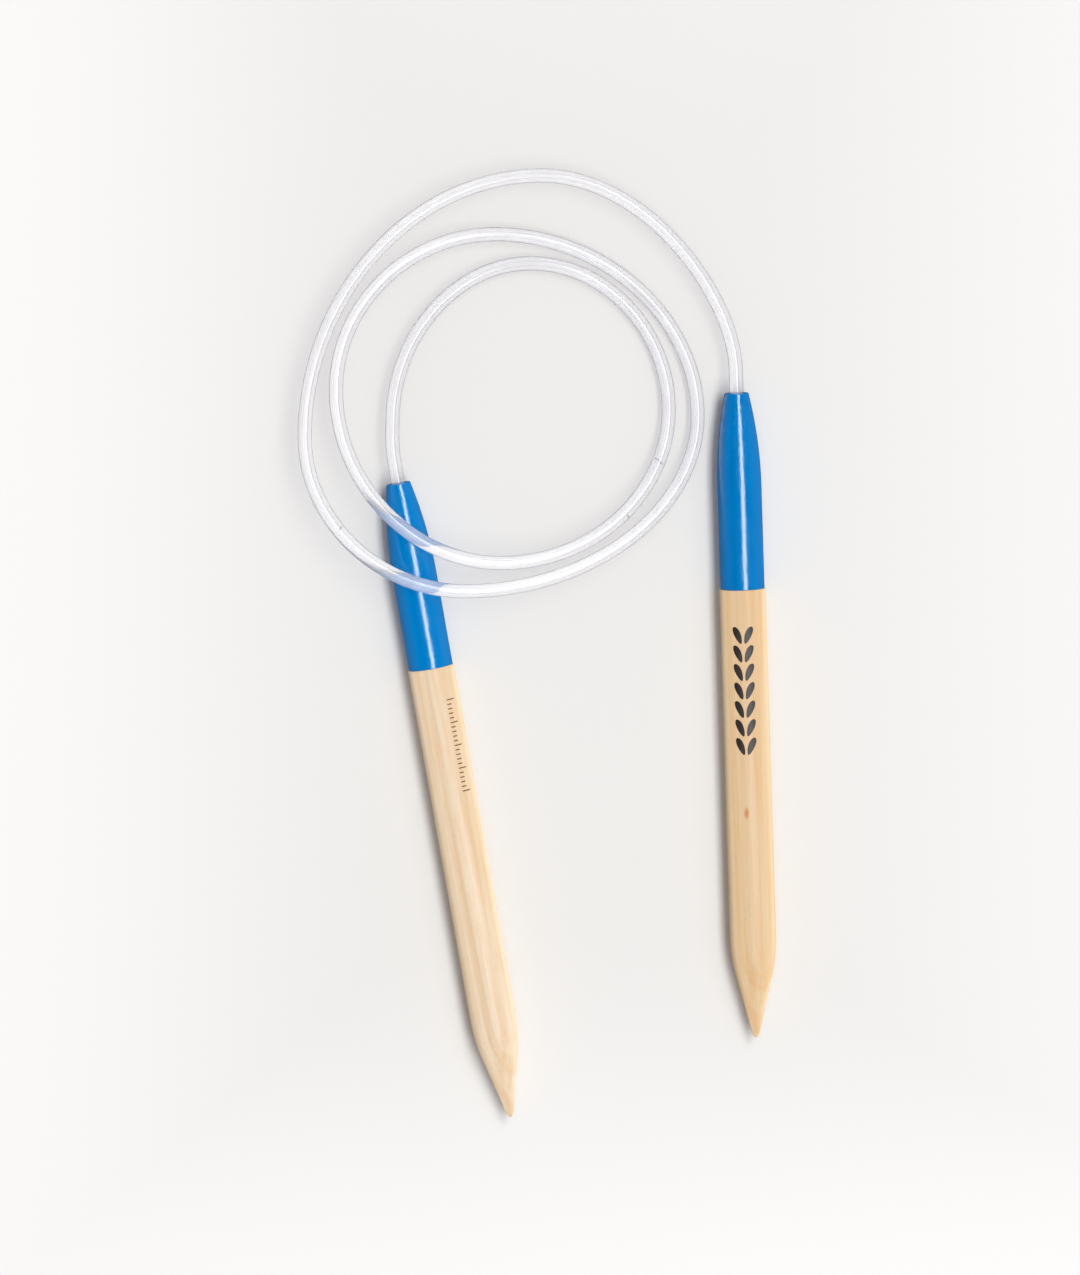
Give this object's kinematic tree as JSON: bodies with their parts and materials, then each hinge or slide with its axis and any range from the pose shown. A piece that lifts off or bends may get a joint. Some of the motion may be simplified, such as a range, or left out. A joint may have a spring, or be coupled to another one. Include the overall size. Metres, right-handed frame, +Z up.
{
  "type": "circular knitting needle",
  "caption": "Circular knitting needle: two tapered wooden points with lacquered ends, joined by a long clear flexible cord that lies in a coil.",
  "frame": {"origin": "middle of the footprint, on the surface the needle lies on", "axes": "+Z up; -Y from the coil towards the tips of the wooden points; +X from the left point to the right point"},
  "size_m": [0.1028, 0.205, 0.0134],
  "materials": {
    "birch_wood": "satin, fine lengthwise grain",
    "blue_lacquer": "glossy lacquer over wood grain",
    "clear_cord": "clear, glossy",
    "cured_glue": "satin",
    "nylon": "matte"
  },
  "bodies": {
    "coil": {"cord_inner_loop": "clear_cord", "cord_middle_loop": "clear_cord"},
    "left_needle": {"left_wood_shaft": "birch_wood", "left_lacquer_coat": "blue_lacquer", "left_glue_sleeve": "cured_glue", "left_cord_end": "clear_cord", "left_core_pin": "nylon"},
    "right_needle": {"right_wood_shaft": "birch_wood", "right_lacquer_coat": "blue_lacquer", "right_glue_sleeve": "cured_glue", "right_cord_end": "clear_cord", "right_core_pin": "nylon"},
    "left_link_1": {"cord_left_link_1": "clear_cord"},
    "left_link_2": {"cord_left_link_2": "clear_cord"},
    "left_link_3": {"cord_left_link_3": "clear_cord"},
    "outer_link_1": {"cord_outer_link_1": "clear_cord"},
    "outer_link_2": {"cord_outer_link_2": "clear_cord"},
    "outer_link_3": {"cord_outer_link_3": "clear_cord"},
    "outer_link_4": {"cord_outer_link_4": "clear_cord"},
    "outer_link_5": {"cord_outer_link_5": "clear_cord"},
    "outer_link_6": {"cord_outer_link_6": "clear_cord"},
    "outer_link_7": {"cord_outer_link_7": "clear_cord"},
    "outer_link_8": {"cord_outer_link_8": "clear_cord"},
    "right_link_1": {"cord_right_link_1": "clear_cord"},
    "right_link_2": {"cord_right_link_2": "clear_cord"},
    "right_link_3": {"cord_right_link_3": "clear_cord"},
    "right_link_4": {"cord_right_link_4": "clear_cord"},
    "right_link_5": {"cord_right_link_5": "clear_cord"},
    "right_link_6": {"cord_right_link_6": "clear_cord"}
  },
  "joints": [
    {"name": "left_needle_swing", "type": "hinge", "parent": "coil", "child": "left_link_3", "pos_m": [-0.01139, 0.08005, 0.00204], "axis": [0, 0, 1], "range_deg": [-10, 0.8], "stiffness_Nm_per_rad": 0.0005},
    {"name": "left_needle_swing_2", "type": "hinge", "parent": "left_link_3", "child": "left_link_2", "pos_m": [-0.02379, 0.07026, 0.00303], "axis": [0, 0, 1], "range_deg": [-10, 0.8], "stiffness_Nm_per_rad": 0.0005},
    {"name": "left_needle_swing_3", "type": "hinge", "parent": "left_link_2", "child": "left_link_1", "pos_m": [-0.03037, 0.05587, 0.00419], "axis": [0, 0, 1], "range_deg": [-10, 0.8], "stiffness_Nm_per_rad": 0.0005},
    {"name": "left_needle_roll", "type": "hinge", "parent": "left_link_1", "child": "left_needle", "pos_m": [-0.03085, 0.03997, 0.00496], "axis": [0.1728, -0.985, 0], "range_deg": [-90, 90]},
    {"name": "outer_loop_open_6", "type": "hinge", "parent": "coil", "child": "outer_link_1", "pos_m": [-0.03106, 0.0161, 0.01177], "axis": [0, 0, 1], "range_deg": [0, 5], "stiffness_Nm_per_rad": 0.0005},
    {"name": "outer_loop_open_5", "type": "hinge", "parent": "outer_link_1", "child": "outer_link_2", "pos_m": [-0.042, 0.02469, 0.01179], "axis": [0, 0, 1], "range_deg": [0, 5], "stiffness_Nm_per_rad": 0.0005},
    {"name": "outer_loop_lift", "type": "hinge", "parent": "outer_link_2", "child": "outer_link_3", "pos_m": [-0.04866, 0.03686, 0.0111], "axis": [0.2808, -0.9598, 0], "range_deg": [0, 15], "stiffness_Nm_per_rad": 0.0005},
    {"name": "outer_loop_open_4", "type": "hinge", "parent": "outer_link_3", "child": "outer_link_4", "pos_m": [-0.04965, 0.05069, 0.00992], "axis": [0, 0, 1], "range_deg": [0, 5], "stiffness_Nm_per_rad": 0.0005},
    {"name": "outer_loop_lift_2", "type": "hinge", "parent": "outer_link_4", "child": "outer_link_5", "pos_m": [-0.04677, 0.0643, 0.0087], "axis": [-0.321, -0.9471, 0], "range_deg": [0, 15], "stiffness_Nm_per_rad": 0.0005},
    {"name": "outer_loop_open_3", "type": "hinge", "parent": "outer_link_5", "child": "outer_link_6", "pos_m": [-0.04077, 0.07686, 0.00754], "axis": [0, 0, 1], "range_deg": [0, 5], "stiffness_Nm_per_rad": 0.0005},
    {"name": "outer_loop_open_2", "type": "hinge", "parent": "outer_link_6", "child": "outer_link_7", "pos_m": [-0.03191, 0.08761, 0.00647], "axis": [0, 0, 1], "range_deg": [0, 5], "stiffness_Nm_per_rad": 0.0005},
    {"name": "outer_loop_open", "type": "hinge", "parent": "outer_link_7", "child": "outer_link_8", "pos_m": [-0.02059, 0.09572, 0.00554], "axis": [0, 0, 1], "range_deg": [0, 5], "stiffness_Nm_per_rad": 0.0005},
    {"name": "right_needle_lift", "type": "hinge", "parent": "outer_link_8", "child": "right_link_1", "pos_m": [-0.00745, 0.10031, 0.00476], "axis": [0.182, -0.9833, 0], "range_deg": [0, 15], "stiffness_Nm_per_rad": 0.0005},
    {"name": "right_needle_swing", "type": "hinge", "parent": "right_link_1", "child": "right_link_2", "pos_m": [0.00449, 0.1008, 0.00427], "axis": [0, 0, 1], "range_deg": [-1, 10], "stiffness_Nm_per_rad": 0.0005},
    {"name": "right_needle_lift_2", "type": "hinge", "parent": "right_link_2", "child": "right_link_3", "pos_m": [0.01587, 0.09718, 0.00411], "axis": [-0.4547, -0.8906, 0], "range_deg": [0, 15], "stiffness_Nm_per_rad": 0.0005},
    {"name": "right_needle_swing_2", "type": "hinge", "parent": "right_link_3", "child": "right_link_4", "pos_m": [0.02569, 0.09035, 0.00422], "axis": [0, 0, 1], "range_deg": [-1, 10], "stiffness_Nm_per_rad": 0.0005},
    {"name": "right_needle_lift_3", "type": "hinge", "parent": "right_link_4", "child": "right_link_5", "pos_m": [0.03369, 0.08144, 0.00449], "axis": [-0.8103, -0.5861, 0], "range_deg": [0, 15], "stiffness_Nm_per_rad": 0.0005},
    {"name": "right_needle_swing_3", "type": "hinge", "parent": "right_link_5", "child": "right_link_6", "pos_m": [0.03961, 0.07104, 0.00479], "axis": [0, 0, 1], "range_deg": [-1, 10], "stiffness_Nm_per_rad": 0.0005},
    {"name": "right_needle_roll", "type": "hinge", "parent": "right_link_6", "child": "right_needle", "pos_m": [0.04245, 0.05945, 0.00496], "axis": [0.0325, -0.9995, 0], "range_deg": [-90, 90]}
  ],
  "couplings": [
    {"joint": "left_needle_swing_2", "follows": "left_needle_swing", "ratio": 1},
    {"joint": "left_needle_swing_3", "follows": "left_needle_swing", "ratio": 1},
    {"joint": "outer_loop_open_6", "follows": "outer_loop_open", "ratio": 1},
    {"joint": "outer_loop_open_5", "follows": "outer_loop_open", "ratio": 1},
    {"joint": "outer_loop_open_4", "follows": "outer_loop_open", "ratio": 1},
    {"joint": "outer_loop_lift_2", "follows": "outer_loop_lift", "ratio": 1},
    {"joint": "outer_loop_open_3", "follows": "outer_loop_open", "ratio": 1},
    {"joint": "outer_loop_open_2", "follows": "outer_loop_open", "ratio": 1},
    {"joint": "right_needle_lift_2", "follows": "right_needle_lift", "ratio": 1},
    {"joint": "right_needle_swing_2", "follows": "right_needle_swing", "ratio": 1},
    {"joint": "right_needle_lift_3", "follows": "right_needle_lift", "ratio": 1},
    {"joint": "right_needle_swing_3", "follows": "right_needle_swing", "ratio": 1}
  ]
}
